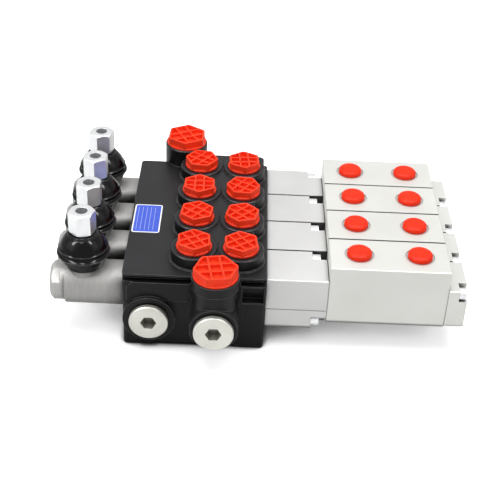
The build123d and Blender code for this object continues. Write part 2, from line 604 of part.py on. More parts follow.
# Pieces of each section
for number, y in enumerate(ROWS, start=1):
    lever_axis = Plane((LEVER_X, y, 0))

    # Lever housing: round shell with the pivot tower on top and a spigot in the body
    with BuildPart() as lever_housing:
        rod(across(LEVER_HOUSING_END_X, y, SPOOL_Z), LEVER_HOUSING_R, LEVER_HOUSING_LENGTH)
        rod(across(-BODY_HALF_X, y, SPOOL_Z), SPIGOT_R - SEAL_FIT, SPIGOT_LENGTH)
        rod(lever_axis.offset(SPOOL_Z), TOWER_R, TOWER_TOP_Z - SPOOL_Z)
        rod(across(LEVER_HOUSING_END_X, y, SPOOL_Z), LEVER_HOUSING_BORE_R,
            LEVER_HOUSING_LENGTH - LEVER_HOUSING_FLOOR, mode=Mode.SUBTRACT)
        rod(across(-BODY_HALF_X + SPIGOT_LENGTH, y, SPOOL_Z), SEAL_BORE_R,
            -SPIGOT_LENGTH - LEVER_HOUSING_FLOOR, mode=Mode.SUBTRACT)
        rod(lever_axis.offset(SPOOL_Z), TOWER_BORE_R, TOWER_TOP_Z - SPOOL_Z, mode=Mode.SUBTRACT)
        rod(facing_front(LEVER_X, y + TOWER_R, PIVOT_Z), PIVOT_PIN_R, 2 * TOWER_R, mode=Mode.SUBTRACT)
    lever_housing.part.label = f"lever_housing_{number}"
    export_step(lever_housing.part, f"parts/lever_housing_{number}.step")

    # Rubber boot between the tower and the lever's collar
    with BuildPart() as lever_boot:
        grip_r = TOWER_R + BOOT_GRIP
        grip_top = TOWER_TOP_Z - BOOT_LOW_Z
        turned((*BOOT_OUTSIDE, *BOOT_INSIDE, (grip_top, grip_r), (0, grip_r)),
               Plane(origin=(LEVER_X, y, BOOT_LOW_Z), x_dir=(0, 0, 1), z_dir=(0, 1, 0)))
    lever_boot.part.label = f"lever_boot_{number}"
    export_step(lever_boot.part, f"parts/lever_boot_{number}.step")

    # Lever stem: flat rocker with toe and eye, and a round shank up into the socket
    with BuildPart() as lever_ball_stem:
        with BuildSketch(facing_front(LEVER_X, y + STEM_HALF_WIDTH, 0)):
            with Locations((0, SPOOL_Z)):
                Circle(STEM_TOE_R)
            with Locations((0, PIVOT_Z)):
                Circle(STEM_EYE_R)
            with Locations((0, (SPOOL_Z + PIVOT_Z) / 2)):
                Rectangle(STEM_WAIST, LEVER_ARM)
            with Locations((0, PIVOT_Z)):
                Circle(PIVOT_PIN_R + SEAL_FIT, mode=Mode.SUBTRACT)
        extrude(amount=2 * STEM_HALF_WIDTH)
        shank_z = PIVOT_Z + PIVOT_PIN_R + STEM_EYE_WALL
        rod(lever_axis.offset(shank_z), STEM_R - SEAL_FIT, SOCKET_LOW_Z + SOCKET_STEM_DEPTH - shank_z)
    lever_ball_stem.part.label = f"lever_ball_stem_{number}"
    export_step(lever_ball_stem.part, f"parts/lever_ball_stem_{number}.step")

    # Hexagon socket with the thread for the lever bar
    with BuildPart() as lever_socket:
        hexagon(lever_axis.offset(SOCKET_LOW_Z), SOCKET_HEX, SOCKET_HEIGHT, turn=SOCKET_TURNS[number - 1])
        turned(((0, 0), (0, SOCKET_FACE_R), (SOCKET_BEVEL, SOCKET_EDGE_R),
                (SOCKET_HEIGHT - SOCKET_BEVEL, SOCKET_EDGE_R), (SOCKET_HEIGHT, SOCKET_FACE_R),
                (SOCKET_HEIGHT, 0)),
               Plane(origin=(LEVER_X, y, SOCKET_LOW_Z), x_dir=(0, 0, 1), z_dir=(0, 1, 0)),
               mode=Mode.INTERSECT)
        rod(lever_axis.offset(SOCKET_LOW_Z), STEM_R, SOCKET_STEM_DEPTH, mode=Mode.SUBTRACT)
        rod(lever_axis.offset(SOCKET_TOP_Z), SOCKET_THREAD_R, -SOCKET_THREAD_DEPTH, mode=Mode.SUBTRACT)
    lever_socket.part.label = f"lever_socket_{number}"
    export_step(lever_socket.part, f"parts/lever_socket_{number}.step")

    # Spool, with the slot for the lever's toe in its left end
    with BuildPart() as spool:
        turned(((SPOOL_TIP_X, 0), (SPOOL_TIP_X, SPOOL_TONGUE_R), (TONGUE_END_X, SPOOL_TONGUE_R),
                (TONGUE_END_X, SPOOL_R), (TANK_NECK_X[0], SPOOL_R), (TANK_NECK_X[0], SPOOL_NECK_R),
                (TANK_NECK_X[1], SPOOL_NECK_R), (TANK_NECK_X[1], SPOOL_R),
                (PRESSURE_NECK_X[0], SPOOL_R), (PRESSURE_NECK_X[0], SPOOL_NECK_R),
                (PRESSURE_NECK_X[1], SPOOL_NECK_R), (PRESSURE_NECK_X[1], SPOOL_R),
                (RIGHT_NECK_X[0], SPOOL_R), (RIGHT_NECK_X[0], SPOOL_NECK_R),
                (RIGHT_NECK_X[1], SPOOL_NECK_R), (RIGHT_NECK_X[1], SPOOL_R),
                (CHAMBER_X, SPOOL_R), (CHAMBER_X, SPOOL_ROD_R),
                (ROD_END_X, SPOOL_ROD_R), (ROD_END_X, 0)),
               facing_front(0, y, SPOOL_Z))
        slot_half = STEM_TOE_R + TOE_SLOT_CLEARANCE
        block((LEVER_X - slot_half, LEVER_X + slot_half), (y - SPOOL_R, y + SPOOL_R),
              (SPOOL_Z - TONGUE_FLOOR, SPOOL_Z + SPOOL_R), mode=Mode.SUBTRACT)
        block((SPOOL_TIP_X, TONGUE_END_X), (y - SPOOL_R, y + SPOOL_R),
              (SPOOL_Z + TONGUE_FLAT, SPOOL_Z + SPOOL_R), mode=Mode.SUBTRACT)
    spool.part.label = f"spool_{number}"
    export_step(spool.part, f"parts/spool_{number}.step")

    # Spring housing with chamber, seal groove, corner notches and screw holes
    with BuildPart() as spring_housing:
        with BuildSketch(across(BODY_HALF_X, y, 0)):
            with Locations((0, (HOUSING_LOW_Z + HOUSING_HIGH_Z) / 2)):
                Rectangle(2 * BLOCK_HALF_Y, HOUSING_HIGH_Z - HOUSING_LOW_Z)
        extrude(amount=HOUSING_LENGTH)
        chamfer(spring_housing.edges(), EDGE_CHAMFER)
        rod(across(CHAMBER_X, y, SPOOL_Z), SPRING_CHAMBER_R, HOUSING_LENGTH - HOUSING_WALL,
            mode=Mode.SUBTRACT)
        rod(across(BODY_HALF_X, y, SPOOL_Z), SEAL_BORE_R, HOUSING_WALL, mode=Mode.SUBTRACT)
        rod(across(RIGHT_SEAL_X, y, SPOOL_Z), SEAL_R, SEAL_LENGTH, mode=Mode.SUBTRACT)
        for side in (-1, 1):
            notch_edge = y - side * BLOCK_HALF_Y
            notch_y = sorted((notch_edge, notch_edge + side * NOTCH_WIDTH))
            notch_z = (HOUSING_LOW_Z, HOUSING_LOW_Z + NOTCH_HEIGHT)
            if side < 0:
                notch_z = (HOUSING_HIGH_Z - NOTCH_HEIGHT, HOUSING_HIGH_Z)
            block((HOUSING_END_X - NOTCH_LENGTH, HOUSING_END_X), notch_y, notch_z, mode=Mode.SUBTRACT)
            groove_y = sorted((y + side * BLOCK_HALF_Y, y + side * (BLOCK_HALF_Y - SIDE_GROOVE / 2)))
            block((BODY_HALF_X, HOUSING_END_X), groove_y, (SIDE_GROOVE_Z, SIDE_GROOVE_Z + SIDE_GROOVE),
                  mode=Mode.SUBTRACT)
        for offset, z in HOUSING_SCREWS:
            rod(across(BODY_HALF_X, y + offset, z), SCREW_HOLE_R, HOUSING_LENGTH - NOTCH_LENGTH,
                mode=Mode.SUBTRACT)
        for offset, z in TIES:
            rod(across(HOUSING_END_X, y + offset, z), TIE_R, -TIE_IN_HOUSING - DRILL_OVERRUN,
                mode=Mode.SUBTRACT)
    spring_housing.part.label = f"spring_housing_{number}"
    export_step(spring_housing.part, f"parts/spring_housing_{number}.step")

    # Centring spring between its two cups
    with BuildPart() as centering_spring:
        with Locations((0, y - ROWS[0], 0)):
            add(coil.part)
        for x in (spring_x[0] - SPRING_CUP, spring_x[1]):
            with BuildSketch(across(x, y, SPOOL_Z)):
                Circle(SPRING_CUP_R)
                Circle(SPOOL_ROD_R + SPRING_CUP_BORE_GAP, mode=Mode.SUBTRACT)
            extrude(amount=SPRING_CUP)
    centering_spring.part.label = f"centering_spring_{number}"
    export_step(centering_spring.part, f"parts/centering_spring_{number}.step")

    # Air cylinder block
    with BuildPart() as air_cylinder:
        with BuildSketch(across(HOUSING_END_X, y, 0)):
            with Locations((0, (CYLINDER_LOW_Z + CYLINDER_HIGH_Z) / 2)):
                Rectangle(2 * BLOCK_HALF_Y, CYLINDER_HIGH_Z - CYLINDER_LOW_Z)
        extrude(amount=CYLINDER_LENGTH)
        chamfer(air_cylinder.edges(), EDGE_CHAMFER)
        rod(across(HOUSING_END_X + CYLINDER_WALL, y, SPOOL_Z), CYLINDER_BORE_R,
            CYLINDER_LENGTH - CYLINDER_WALL, mode=Mode.SUBTRACT)
        rod(across(HOUSING_END_X, y, SPOOL_Z), PISTON_ROD_R + PISTON_ROD_FIT, CYLINDER_WALL,
            mode=Mode.SUBTRACT)
        for x in AIR_PORT_X:
            rod(Plane((x, y, CYLINDER_HIGH_Z)), AIR_PORT_SPOT_R, -AIR_PORT_SPOT, mode=Mode.SUBTRACT)
            rod(Plane((x, y, SPOOL_Z + AIR_PORT_ABOVE_AXIS)), AIR_PORT_R, CYLINDER_HIGH_Z - SPOOL_Z,
                mode=Mode.SUBTRACT)
        for offset, z in TIES:
            rod(across(HOUSING_END_X, y + offset, z), TIE_HOLE_R, CYLINDER_LENGTH, mode=Mode.SUBTRACT)
    air_cylinder.part.label = f"air_cylinder_{number}"
    export_step(air_cylinder.part, f"parts/air_cylinder_{number}.step")

    # End cover with its spigot and the notches of the tie screws
    with BuildPart() as end_cover:
        with BuildSketch(across(CYLINDER_END_X, y, 0)):
            with Locations((0, (COVER_LOW_Z + COVER_HIGH_Z) / 2)):
                Rectangle(2 * BLOCK_HALF_Y, COVER_HIGH_Z - COVER_LOW_Z)
        extrude(amount=COVER_LENGTH)
        chamfer(end_cover.edges(), EDGE_CHAMFER)
        rod(across(CYLINDER_END_X, y, SPOOL_Z), CYLINDER_BORE_R - SEAL_FIT, -COVER_SPIGOT)
        notch_x = (COVER_END_X - COVER_NOTCH, COVER_END_X)
        block(notch_x, (y - BLOCK_HALF_Y, y - BLOCK_HALF_Y + COVER_NOTCH_WIDTH),
              (COVER_HIGH_Z - COVER_NOTCH_HEIGHT, COVER_HIGH_Z), mode=Mode.SUBTRACT)
        block(notch_x, (y + BLOCK_HALF_Y - COVER_NOTCH_WIDTH, y + BLOCK_HALF_Y),
              (COVER_LOW_Z, COVER_LOW_Z + COVER_NOTCH_HEIGHT), mode=Mode.SUBTRACT)
        for offset, z in TIES:
            rod(across(CYLINDER_END_X, y + offset, z), TIE_HOLE_R, COVER_LENGTH, mode=Mode.SUBTRACT)
    end_cover.part.label = f"cylinder_end_cover_{number}"
    export_step(end_cover.part, f"parts/cylinder_end_cover_{number}.step")

    # Air piston on the spool's rod, with the groove of its seal
    with BuildPart() as air_piston:
        groove_start = (PISTON_X[0] + PISTON_X[1] - PISTON_SEAL) / 2
        groove_x = (groove_start, groove_start + PISTON_SEAL)
        turned(((HOUSING_END_X, SPOOL_ROD_R), (HOUSING_END_X, PISTON_ROD_R), (PISTON_X[0], PISTON_ROD_R),
                (PISTON_X[0], PISTON_R), (groove_x[0], PISTON_R), (groove_x[0], PISTON_SEAL_R),
                (groove_x[1], PISTON_SEAL_R), (groove_x[1], PISTON_R), (PISTON_X[1], PISTON_R),
                (PISTON_X[1], 0), (ROD_END_X, 0), (ROD_END_X, SPOOL_ROD_R)),
               facing_front(0, y, SPOOL_Z))
    air_piston.part.label = f"air_piston_{number}"
    export_step(air_piston.part, f"parts/air_piston_{number}.step")

    with BuildPart() as piston_seal:
        with BuildSketch(across(groove_x[0], y, SPOOL_Z)):
            Circle(PISTON_R)
            Circle(PISTON_SEAL_R, mode=Mode.SUBTRACT)
        extrude(amount=PISTON_SEAL)
    piston_seal.part.label = f"piston_seal_{number}"
    export_step(piston_seal.part, f"parts/piston_seal_{number}.step")
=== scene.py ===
# %% [markdown]
# # Dressing a four-spool directional valve
# The frame holds every rigid piece at its real size. This lesson gives each piece its finish, and
# models the pieces whose charm is in their shape: rubber boots, waffled port caps and domed air caps.
# Everything is in metres, in the frame's own axes: +X runs along the spools, -Y is the front.

# %% Load the frame
from math import cos, pi, radians, sin

import bmesh
import bpy
from mathutils import Matrix, Vector


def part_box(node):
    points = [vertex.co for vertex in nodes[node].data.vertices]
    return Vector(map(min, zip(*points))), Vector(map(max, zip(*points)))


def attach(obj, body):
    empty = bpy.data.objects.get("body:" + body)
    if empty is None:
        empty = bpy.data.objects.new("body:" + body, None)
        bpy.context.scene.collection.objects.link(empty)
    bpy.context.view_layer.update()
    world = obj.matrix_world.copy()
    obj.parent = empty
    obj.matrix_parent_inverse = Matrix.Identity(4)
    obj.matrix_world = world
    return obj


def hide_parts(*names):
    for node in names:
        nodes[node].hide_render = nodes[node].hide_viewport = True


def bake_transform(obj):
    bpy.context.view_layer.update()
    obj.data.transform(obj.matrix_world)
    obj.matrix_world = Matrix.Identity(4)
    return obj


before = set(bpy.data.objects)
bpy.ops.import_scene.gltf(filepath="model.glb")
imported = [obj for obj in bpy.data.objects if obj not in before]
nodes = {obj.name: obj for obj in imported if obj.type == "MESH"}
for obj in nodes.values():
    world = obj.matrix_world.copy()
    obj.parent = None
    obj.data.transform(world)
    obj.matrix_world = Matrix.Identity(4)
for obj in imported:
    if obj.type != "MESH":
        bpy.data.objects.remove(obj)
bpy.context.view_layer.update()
MM = 0.001
print("nodes in the frame:", len(nodes))

# %% [markdown]
# ## Shader maths as plain arithmetic
# A material is a graph of small nodes. Writing `base + 0.2 * grain` is easier to read than wiring
# Math nodes by hand, so one small class wraps a socket and lets Python's operators add the nodes.
# Any other node comes from one method, which takes its type, its settings and its inputs.

# %% The socket wrapper
class Value:
    """An output socket that can be added, multiplied and compared like a number."""

    def __init__(self, graph, socket):
        self.graph = graph
        self.socket = socket

    def math(self, operation, *others):
        inputs = dict(enumerate((self, *others)))
        return self.graph.add("ShaderNodeMath", {"operation": operation}, inputs)["Value"]

    def __add__(self, other):
        return self.math("ADD", other)

    def __sub__(self, other):
        return self.math("SUBTRACT", other)

    def __rsub__(self, other):
        return (self * -1.0) + other

    def __mul__(self, other):
        return self.math("MULTIPLY", other)

    def __truediv__(self, other):
        return self.math("DIVIDE", other)

    __radd__ = __add__
    __rmul__ = __mul__

    def clamp(self):
        return self.math("MAXIMUM", 0.0).math("MINIMUM", 1.0)

    def step(self, low, high):
        """0 below low, 1 above high, straight between them."""
        return ((self - low) / (high - low)).clamp()


class Graph:
    """A material's node tree."""

    def __init__(self, name):
        self.material = bpy.data.materials.new(name)
        self.material.use_nodes = True
        self.tree = self.material.node_tree
        self.tree.nodes.clear()

    def put(self, socket, value):
        if isinstance(value, Value):
            self.tree.links.new(value.socket, socket)
        else:
            socket.default_value = value

    def add(self, kind, settings=None, inputs=None):
        """Adds a node: its settings first, then its inputs by name or number. Returns its outputs."""
        node = self.tree.nodes.new(kind)
        for key, setting in (settings or {}).items():
            if key == "stops":
                self.set_stops(node.color_ramp, setting)
            else:
                setattr(node, key, setting)
        for key, value in (inputs or {}).items():
            self.put(node.inputs[key], value)
        return {out.name: Value(self, out) for out in node.outputs}

    def set_stops(self, ramp, stops):
        while len(ramp.elements) < len(stops):
            ramp.elements.new(0.5)
        for element, (position, colour) in zip(ramp.elements, stops):
            element.position = position
            element.color = colour

    def place(self):
        """Object coordinates: the frame's own metres."""
        return self.add("ShaderNodeTexCoord")["Object"]

    def split(self, vector):
        out = self.add("ShaderNodeSeparateXYZ", None, {0: vector})
        return out["X"], out["Y"], out["Z"]

    def noise(self, scale, detail=3.0, roughness=0.5, stretch=(1, 1, 1), kind="Factor"):
        """Soft random pattern; stretch scales it along each direction."""
        at = self.add("ShaderNodeMapping", None, {"Vector": self.place(), "Scale": stretch})["Vector"]
        out = self.add("ShaderNodeTexNoise", None,
                       {"Vector": at, "Scale": scale, "Detail": detail, "Roughness": roughness})
        return list(out.values())[0]

    def blend(self, factor, low, high):
        """Colour between low and high."""
        out = self.add("ShaderNodeMix", {"data_type": "RGBA"}, {0: factor, 6: low, 7: high})
        return Value(self, out["Result"].socket.node.outputs[2])

    def crevice(self, distance, samples=6):
        """1 in the open, falling to 0 where walls close in within the distance."""
        return self.add("ShaderNodeAmbientOcclusion", {"samples": samples}, {"Distance": distance})["AO"]

    def edge(self, radius):
        """0 on flat faces, rising towards 1 on sharp edges within the radius."""
        soft = self.add("ShaderNodeBevel", {"samples": 4}, {"Radius": radius})["Normal"]
        true = self.add("ShaderNodeNewGeometry")["Normal"]
        same = self.add("ShaderNodeVectorMath", {"operation": "DOT_PRODUCT"}, {0: soft, 1: true})["Value"]
        return 1.0 - same

    def relief(self, height, strength, distance, edge_radius=None):
        """A Bump node on the height, over edges softened by a small radius."""
        inputs = {"Height": height, "Strength": strength, "Distance": distance}
        if edge_radius:
            inputs["Normal"] = self.add("ShaderNodeBevel", {"samples": 4}, {"Radius": edge_radius})["Normal"]
        return self.add("ShaderNodeBump", None, inputs)["Normal"]

    def surface(self, **inputs):
        """The Principled shader, its inputs by name with underscores for spaces."""
        named = {key.replace("_", " "): value for key, value in inputs.items()}
        shader = self.add("ShaderNodeBsdfPrincipled", None, named)["BSDF"]
        self.add("ShaderNodeOutputMaterial", None, {"Surface": shader})
        return self.material


def rgb(red, green, blue):
    return (red, green, blue, 1.0)


# %% [markdown]
# ## The black casting
# The real body is sand-cast iron under a thin coat of satin black paint. Its skin is slightly uneven,
# the paint is a little thinner and greyer along the edges, where a painted highlight is added as well,
# and dust makes it patchy. Faces that do not look up, and the hollows, are darkened by painted shade.

# %% Painted cast iron
def painted_casting():
    g = Graph("painted_casting")
    skin = g.noise(420.0, 4.0, 0.6)
    patches = g.noise(26.0, 3.0, 0.55)
    # The edges turn greyer: partly paint worn thin, partly a painted highlight.
    edge = g.edge(0.7 * MM).step(0.02, 0.3)
    specks = g.noise(1500.0, 2.0, 0.7).step(0.66, 0.78)
    paint = g.blend(patches.step(0.3, 0.75), rgb(0.012, 0.012, 0.013), rgb(0.019, 0.019, 0.021))
    # Painted shade: faces that do not look up, and hollows within 9 mm, are blended towards near black.
    upward = g.split(g.add("ShaderNodeNewGeometry")["Normal"])[2].step(0.2, 0.9)
    outside_painted_shade = g.crevice(9 * MM).step(0.3, 0.9)
    base = g.blend(upward * outside_painted_shade, rgb(0.0015, 0.0015, 0.0015), paint)
    worn_and_highlit = g.blend(edge * 0.75, base, rgb(0.27, 0.27, 0.285))
    colour = g.blend(specks * 0.2, worn_and_highlit, rgb(0.08, 0.08, 0.08))
    height = skin + 0.3 * patches
    return g.surface(Base_Color=colour, Roughness=0.34 + 0.14 * patches, Specular_IOR_Level=0.24,
                     Normal=g.relief(height, 0.35, 0.25 * MM, 0.7 * MM))


# %% [markdown]
# ## Aluminium in three finishes
# The long blocks are finely blasted and look nearly white from above. The lever housings are greyer,
# with turning marks round their axis. Both are metal, so the colour is the reflection's tint, and the
# roughness decides whether the light is a soft wash or a streak.

# %% Blasted blocks, with painted shade in the three gaps between the four sections
PITCH = 38.0 * MM
MIDDLE_Y = 2.7 * MM


def blasted_aluminium(node, dark, light):
    g = Graph(f"{node}_aluminium")
    low_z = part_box(f"{node}_1")[0].z
    grain = g.noise(2600.0, 2.0, 0.6)
    clouds = g.noise(18.0, 3.0, 0.5)
    edge = g.edge(0.5 * MM).step(0.02, 0.3)
    base = g.blend(clouds.step(0.3, 0.7), dark, light)
    # A painted highlight lightens the edges.
    bright = g.blend(edge * 0.15, base, rgb(0.86, 0.86, 0.86))
    x, y, z = g.split(g.place())
    # Painted shade: the three gaps between sections, a strip along the bottom edge and the hollows are blended to
    # near black.
    from_middle = (y - MIDDLE_Y).math("ABSOLUTE")
    beside_gap = ((y - MIDDLE_Y + PITCH / 2).math("FLOORED_MODULO", PITCH) - PITCH / 2).math("ABSOLUTE")
    gap = (1.0 - beside_gap.step(0.75 * MM, 1.05 * MM)) * (1.0 - from_middle.step(1.3 * PITCH, 1.35 * PITCH))
    under_edge = (z - low_z).step(0.6 * MM, 2.6 * MM)
    outside_painted_shade = g.crevice(5 * MM).step(0.2, 0.8) * (1.0 - 0.9 * gap) * (0.15 + 0.85 * under_edge)
    colour = g.blend(outside_painted_shade, rgb(0.02, 0.02, 0.02), bright)
    height = grain + 0.4 * g.noise(700.0)
    return g.surface(Base_Color=colour, Metallic=0.5, Roughness=0.46 + 0.1 * clouds,
                     Normal=g.relief(height, 0.16, 0.1 * MM, 0.4 * MM))


# %% Turned lever housings
def turned_aluminium(name, dark, light):
    g = Graph(name)
    streaks = g.noise(120.0, 4.0, 0.65, stretch=(9.0, 1.0, 1.0))
    clouds = g.noise(30.0, 3.0, 0.5)
    x, y, z = g.split(g.place())
    tool_marks = (x / (0.09 * MM) + 0.6 * g.noise(90.0)).math("SINE")
    base = g.blend(streaks.step(0.3, 0.7), dark, light)
    # A painted highlight lightens the edges.
    bright = g.blend(g.edge(0.5 * MM).step(0.03, 0.3) * 0.5, base, rgb(0.7, 0.7, 0.69))
    # Painted shade: faces that do not look up go near black where other parts close in within 16 mm, as between
    # the housings.
    upward = g.split(g.add("ShaderNodeNewGeometry")["Normal"])[2].step(0.62, 0.95)
    outside_painted_shade = g.crevice(16 * MM).step(0.5, 0.95).math("MAXIMUM", upward)
    colour = g.blend(outside_painted_shade, rgb(0.012, 0.012, 0.011), bright)
    height = streaks + 0.2 * tool_marks
    return g.surface(Base_Color=colour, Metallic=0.65, Roughness=0.42 + 0.14 * clouds,
                     Normal=g.relief(height, 0.16, 0.12 * MM, 0.4 * MM))


# %% [markdown]
# ## Bright zinc on steel
# The screw plugs are faced on a lathe, so their heads carry fine concentric rings, and the plating
# gives them a warm silver tone. The lever sockets are zinc-plated hexagon bar.

# %% Zinc plating, with rings round a front axis
def faced_zinc(name, centre):
    g = Graph(name)
    x, y, z = g.split(g.place())
    off_x = x - centre.x
    off_z = z - centre.z
    distance = (off_x * off_x + off_z * off_z).math("SQRT")
    rings = (distance * (2 * pi / (0.55 * MM)) + 1.5 * g.noise(60.0)).math("SINE")
    clouds = g.noise(70.0, 4.0, 0.6)
    base = g.blend(clouds.step(0.3, 0.7), rgb(0.62, 0.615, 0.56), rgb(0.74, 0.735, 0.675))
    # A painted highlight lightens the edges, and painted shade darkens the hollows.
    bright = g.blend(g.edge(0.4 * MM).step(0.03, 0.3) * 0.5, base, rgb(0.92, 0.92, 0.90))
    colour = g.blend(g.crevice(8 * MM).step(0.25, 0.75), rgb(0.05, 0.048, 0.035), bright)
    return g.surface(Base_Color=colour, Metallic=0.8, Roughness=0.3 + 0.12 * clouds,
                     Normal=g.relief(rings, 0.12, 0.06 * MM, 0.3 * MM))


def bright_zinc():
    g = Graph("bright_zinc")
    clouds = g.noise(140.0, 4.0, 0.6)
    base = g.blend(clouds.step(0.3, 0.7), rgb(0.80, 0.815, 0.82), rgb(0.90, 0.91, 0.92))
    # Painted shade darkens the hollows, such as the socket's bore.
    colour = g.blend(g.crevice(7 * MM).step(0.15, 0.75), rgb(0.03, 0.03, 0.03), base)
    x, y, z = g.split(g.place())
    threads = (z * (2 * pi / (1.25 * MM))).math("SINE")
    height = g.noise(500.0) + 2.0 * threads * (1.0 - g.crevice(6 * MM)).step(0.35, 0.6)
    return g.surface(Base_Color=colour, Metallic=0.95, Roughness=0.3 + 0.12 * clouds,
                     Normal=g.relief(height, 0.1, 0.08 * MM, 0.4 * MM))


def ground_steel():
    g = Graph("ground_steel")
    lines = g.noise(900.0, 3.0, 0.5, stretch=(14.0, 1.0, 1.0))
    base = g.blend(lines.step(0.3, 0.7), rgb(0.48, 0.48, 0.49), rgb(0.62, 0.62, 0.63))
    return g.surface(Base_Color=base, Metallic=1.0, Roughness=0.22 + 0.12 * lines,
                     Normal=g.relief(lines, 0.1, 0.05 * MM))


# %% [markdown]
# ## Plastic and rubber
# The transport caps are soft polyethylene: a saturated red-orange, a little translucent. Their ribs and edges
# are paler with a painted highlight, and painted shade darkens their pockets and sides. The boots are glossy
# black rubber with a faint bloom, and a painted highlight along their ridges.

# %% Red cap plastic
def cap_plastic(name, deep, edge_highlight_colour):
    g = Graph(name)
    edge = g.edge(0.4 * MM).step(0.01, 0.2)
    clouds = g.noise(110.0, 3.0, 0.5)
    base = g.blend(clouds.step(0.35, 0.7), deep, tuple(0.9 * c for c in deep[:3]) + (1.0,))
    # Painted shade darkens the pockets.
    outside_painted_shade = g.crevice(3 * MM).step(0.3, 0.9)
    shaded = g.blend(outside_painted_shade, tuple(0.52 * c for c in deep[:3]) + (1.0,), base)
    # A painted highlight makes the edges and ribs paler.
    rimmed = g.blend(edge * 0.95, shaded, edge_highlight_colour)
    # Painted shade makes the sides a little darker than the tops.
    upward = g.split(g.add("ShaderNodeNewGeometry")["Normal"])[2].step(0.1, 0.9)
    colour = g.blend(upward, tuple(0.95 * c for c in deep[:3]) + (1.0,), rimmed)
    return g.surface(Base_Color=colour, Roughness=0.42 + 0.1 * clouds, Specular_IOR_Level=0.16,
                     Subsurface_Weight=0.15, Subsurface_Radius=(2.0 * MM, 0.5 * MM, 0.2 * MM),
                     Normal=g.relief(g.noise(650.0), 0.12, 0.1 * MM, 0.2 * MM))


# %% Boot rubber
def boot_rubber():
    g = Graph("boot_rubber")
    bloom = g.noise(140.0, 4.0, 0.6)
    colour = g.blend(bloom.step(0.45, 0.8), rgb(0.0015, 0.0015, 0.002), rgb(0.005, 0.005, 0.006))
    # Painted highlight: the convex ridges are lightened in the colour.
    ridge = g.edge(1.0 * MM).step(0.01, 0.09) * g.crevice(2 * MM).step(0.6, 0.95)
    ridge_highlit = g.blend(ridge * 0.7, colour, rgb(0.17, 0.17, 0.175))
    return g.surface(Base_Color=ridge_highlit, Roughness=0.07 + 0.18 * bloom, Specular_IOR_Level=0.17,
                     Normal=g.relief(g.noise(260.0), 0.3, 0.15 * MM))


def seal_rubber():
    g = Graph("seal_rubber")
    grain = g.noise(900.0)
    colour = g.blend(grain.step(0.3, 0.7), rgb(0.012, 0.012, 0.012), rgb(0.03, 0.03, 0.03))
    return g.surface(Base_Color=colour, Roughness=0.5 + 0.1 * grain, Normal=g.relief(grain, 0.1, 0.05 * MM))


# %% [markdown]
# ## The plate
# A thin blue plate with a white border and rounded corners. The fields are bare: pale rules stand
# where a specification table would be, and there is no lettering.

# %% Blue plate with a white border
def plate_print():
    g = Graph("plate_print")
    low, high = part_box("rating_plate")
    x, y, z = g.split(g.place())
    border = 0.9 * MM
    inset_x = (x - low.x).math("MINIMUM", high.x - x)
    inset_y = (y - low.y).math("MINIMUM", high.y - y)
    corner = 1.8 * MM
    off_x = (corner - inset_x).math("MAXIMUM", 0.0)
    off_y = (corner - inset_y).math("MAXIMUM", 0.0)
    inset = corner - (off_x * off_x + off_y * off_y).math("SQRT")
    inside = inset.step(border, border + 0.15 * MM)
    rules = ((x - low.x) * (2 * pi / (3.1 * MM))).math("COSINE").step(0.86, 0.93)
    field = inset_y.step(3.4 * MM, 3.6 * MM) * inset_x.step(2.6 * MM, 2.8 * MM)
    wear = g.noise(420.0, 3.0, 0.6)
    blue = g.blend(wear.step(0.3, 0.7), rgb(0.032, 0.078, 0.55), rgb(0.046, 0.11, 0.64))
    ruled = g.blend(rules * field * 0.5, blue, rgb(0.55, 0.62, 0.9))
    colour = g.blend(inside, rgb(0.88, 0.89, 0.92), ruled)
    return g.surface(Base_Color=colour, Roughness=0.3 + 0.1 * wear, IOR=1.5,
                     Normal=g.relief(wear, 0.05, 0.05 * MM))


# %% Give the frame's nodes their finishes
def dress(material, *starts):
    for name, node in nodes.items():
        if name.startswith(starts):
            node.data.materials.clear()
            node.data.materials.append(material)


cap_red = cap_plastic("cap_red", rgb(0.98, 0.046, 0.010), rgb(1.0, 0.25, 0.12))
air_cap_red = cap_plastic("air_cap_red", rgb(0.88, 0.028, 0.003), rgb(0.95, 0.08, 0.02))
casting = painted_casting()
cylinders = blasted_aluminium("air_cylinder", rgb(0.66, 0.665, 0.63), rgb(0.71, 0.715, 0.68))
housings_right = blasted_aluminium("spring_housing", rgb(0.60, 0.60, 0.59), rgb(0.66, 0.66, 0.655))
housings = turned_aluminium("housing_aluminium", rgb(0.31, 0.305, 0.295), rgb(0.385, 0.38, 0.37))
end_plugs = turned_aluminium("end_plug_aluminium", rgb(0.40, 0.395, 0.385), rgb(0.49, 0.485, 0.47))
zinc = bright_zinc()
rubber = boot_rubber()
dress(casting, "valve_body")
dress(cylinders, "air_cylinder_", "cylinder_end_cover_", "air_piston_")
dress(housings_right, "spring_housing_")
dress(zinc, "spring_housing_screws", "cover_tie_screws", "lever_socket_")
dress(housings, "lever_housing_")
dress(end_plugs, "lever_end_plugs")
dress(ground_steel(), "spool_", "lever_ball_stem_", "lever_pivot_pins", "centering_spring_")
dress(seal_rubber(), "spool_seals", "port_plug_seals", "piston_seal_")
dress(plate_print(), "rating_plate")
for plug in ("inlet_gallery_plug", "relief_cavity_plug"):
    low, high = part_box(plug)
    dress(faced_zinc(f"{plug}_zinc", (low + high) / 2), plug)

# %% [markdown]
# ## Turned meshes
# Boots and caps are round, so each starts as a profile of radius and height, spun round its axis.
# Their profiles round the rims as a mould would leave them.

